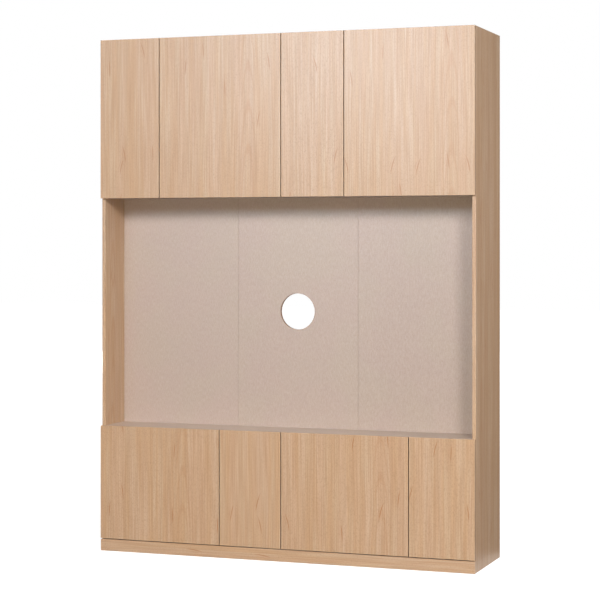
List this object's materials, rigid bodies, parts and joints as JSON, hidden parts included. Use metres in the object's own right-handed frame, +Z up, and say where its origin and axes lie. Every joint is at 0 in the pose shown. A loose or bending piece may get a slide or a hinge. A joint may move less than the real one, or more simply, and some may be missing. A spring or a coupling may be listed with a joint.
{
  "type": "tv armoire",
  "caption": "Tall armoire for a television: handle-less push-to-open doors above and below an open niche with a round cable hole, on a plinth.",
  "frame": {"origin": "centre of the bounding box on the floor", "axes": "+Z up, +X to the right of someone facing the doors, doors face -Y"},
  "size_m": [1.8, 0.455, 2.385],
  "materials": {
    "oak": "light oak veneer, straight grain, matt lacquer",
    "linen": "faced board with a fine linen weave, warm grey beige, matt",
    "hardboard": "thin hardboard, smooth",
    "nickel": "nickel-plated pressed steel",
    "latch_plastic": "moulded grey plastic"
  },
  "bodies": {
    "carcass": {"side_panel_left": "oak", "side_panel_right": "oak", "lower_cabinet_floor": "linen", "niche_floor": "linen", "niche_ceiling": "linen", "top_panel": "linen", "lower_partition": "linen", "upper_partition": "linen", "lower_rear_panel": "hardboard", "upper_rear_panel": "hardboard", "lower_shelf_left": "linen", "lower_shelf_right": "linen", "upper_shelf_left": "linen", "upper_shelf_right": "linen", "niche_back_left": "linen", "niche_back_middle": "linen", "niche_back_right": "linen", "plinth_board": "oak", "plinth_rear_rail": "linen", "plinth_bearer": "linen", "wall_angle_left": "nickel", "wall_angle_right": "nickel", "lower_latch_left": "latch_plastic", "lower_latch_right": "latch_plastic", "upper_latch_left": "latch_plastic", "upper_latch_right": "latch_plastic", "lower_door_1_hinge_arm_bottom": "nickel", "lower_door_1_hinge_arm_top": "nickel", "lower_door_2_hinge_arm_bottom": "nickel", "lower_door_2_hinge_arm_top": "nickel", "lower_door_3_hinge_arm_bottom": "nickel", "lower_door_3_hinge_arm_top": "nickel", "lower_door_4_hinge_arm_bottom": "nickel", "lower_door_4_hinge_arm_top": "nickel", "upper_door_1_hinge_arm_bottom": "nickel", "upper_door_1_hinge_arm_top": "nickel", "upper_door_2_hinge_arm_bottom": "nickel", "upper_door_2_hinge_arm_top": "nickel", "upper_door_3_hinge_arm_bottom": "nickel", "upper_door_3_hinge_arm_top": "nickel", "upper_door_4_hinge_arm_bottom": "nickel", "upper_door_4_hinge_arm_top": "nickel"},
    "lower_door_1": {"lower_door_1": "oak"},
    "lower_door_1_latch_plunger": {"lower_door_1_latch_plunger": "latch_plastic"},
    "lower_door_2": {"lower_door_2": "oak"},
    "lower_door_2_latch_plunger": {"lower_door_2_latch_plunger": "latch_plastic"},
    "lower_door_3": {"lower_door_3": "oak"},
    "lower_door_3_latch_plunger": {"lower_door_3_latch_plunger": "latch_plastic"},
    "lower_door_4": {"lower_door_4": "oak"},
    "lower_door_4_latch_plunger": {"lower_door_4_latch_plunger": "latch_plastic"},
    "upper_door_1": {"upper_door_1": "oak"},
    "upper_door_1_latch_plunger": {"upper_door_1_latch_plunger": "latch_plastic"},
    "upper_door_2": {"upper_door_2": "oak"},
    "upper_door_2_latch_plunger": {"upper_door_2_latch_plunger": "latch_plastic"},
    "upper_door_3": {"upper_door_3": "oak"},
    "upper_door_3_latch_plunger": {"upper_door_3_latch_plunger": "latch_plastic"},
    "upper_door_4": {"upper_door_4": "oak"},
    "upper_door_4_latch_plunger": {"upper_door_4_latch_plunger": "latch_plastic"}
  },
  "joints": [
    {"name": "lower_door_1_swing", "type": "hinge", "parent": "carcass", "child": "lower_door_1", "pos_m": [-0.8925, -0.2215, 0.321], "axis": [0, 0, -1], "range_deg": [0, 95]},
    {"name": "lower_door_1_latch_plunger_slide", "type": "slide", "parent": "carcass", "child": "lower_door_1_latch_plunger", "axis": [0, -1, 0], "range_m": [0, 0.02]},
    {"name": "lower_door_2_swing", "type": "hinge", "parent": "carcass", "child": "lower_door_2", "pos_m": [-0.0095, -0.2215, 0.321], "axis": [0, 0, 1], "range_deg": [0, 90]},
    {"name": "lower_door_2_latch_plunger_slide", "type": "slide", "parent": "carcass", "child": "lower_door_2_latch_plunger", "axis": [0, -1, 0], "range_m": [0, 0.02]},
    {"name": "lower_door_3_swing", "type": "hinge", "parent": "carcass", "child": "lower_door_3", "pos_m": [0.0095, -0.2215, 0.321], "axis": [0, 0, -1], "range_deg": [0, 90]},
    {"name": "lower_door_3_latch_plunger_slide", "type": "slide", "parent": "carcass", "child": "lower_door_3_latch_plunger", "axis": [0, -1, 0], "range_m": [0, 0.02]},
    {"name": "lower_door_4_swing", "type": "hinge", "parent": "carcass", "child": "lower_door_4", "pos_m": [0.8925, -0.2215, 0.321], "axis": [0, 0, 1], "range_deg": [0, 95]},
    {"name": "lower_door_4_latch_plunger_slide", "type": "slide", "parent": "carcass", "child": "lower_door_4_latch_plunger", "axis": [0, -1, 0], "range_m": [0, 0.02]},
    {"name": "upper_door_1_swing", "type": "hinge", "parent": "carcass", "child": "upper_door_1", "pos_m": [-0.8925, -0.2215, 2.0155], "axis": [0, 0, -1], "range_deg": [0, 95]},
    {"name": "upper_door_1_latch_plunger_slide", "type": "slide", "parent": "carcass", "child": "upper_door_1_latch_plunger", "axis": [0, -1, 0], "range_m": [0, 0.02]},
    {"name": "upper_door_2_swing", "type": "hinge", "parent": "carcass", "child": "upper_door_2", "pos_m": [-0.0095, -0.2215, 2.0155], "axis": [0, 0, 1], "range_deg": [0, 90]},
    {"name": "upper_door_2_latch_plunger_slide", "type": "slide", "parent": "carcass", "child": "upper_door_2_latch_plunger", "axis": [0, -1, 0], "range_m": [0, 0.02]},
    {"name": "upper_door_3_swing", "type": "hinge", "parent": "carcass", "child": "upper_door_3", "pos_m": [0.0095, -0.2215, 2.0155], "axis": [0, 0, -1], "range_deg": [0, 90]},
    {"name": "upper_door_3_latch_plunger_slide", "type": "slide", "parent": "carcass", "child": "upper_door_3_latch_plunger", "axis": [0, -1, 0], "range_m": [0, 0.02]},
    {"name": "upper_door_4_swing", "type": "hinge", "parent": "carcass", "child": "upper_door_4", "pos_m": [0.8925, -0.2215, 2.0155], "axis": [0, 0, 1], "range_deg": [0, 95]},
    {"name": "upper_door_4_latch_plunger_slide", "type": "slide", "parent": "carcass", "child": "upper_door_4_latch_plunger", "axis": [0, -1, 0], "range_m": [0, 0.02]}
  ],
  "couplings": [
    {"joint": "lower_door_1_latch_plunger_slide", "follows": "lower_door_1_swing", "m_per_rad": 0.012},
    {"joint": "lower_door_2_latch_plunger_slide", "follows": "lower_door_2_swing", "m_per_rad": 0.0127},
    {"joint": "lower_door_3_latch_plunger_slide", "follows": "lower_door_3_swing", "m_per_rad": 0.0127},
    {"joint": "lower_door_4_latch_plunger_slide", "follows": "lower_door_4_swing", "m_per_rad": 0.012},
    {"joint": "upper_door_1_latch_plunger_slide", "follows": "upper_door_1_swing", "m_per_rad": 0.012},
    {"joint": "upper_door_2_latch_plunger_slide", "follows": "upper_door_2_swing", "m_per_rad": 0.0127},
    {"joint": "upper_door_3_latch_plunger_slide", "follows": "upper_door_3_swing", "m_per_rad": 0.0127},
    {"joint": "upper_door_4_latch_plunger_slide", "follows": "upper_door_4_swing", "m_per_rad": 0.012}
  ]
}
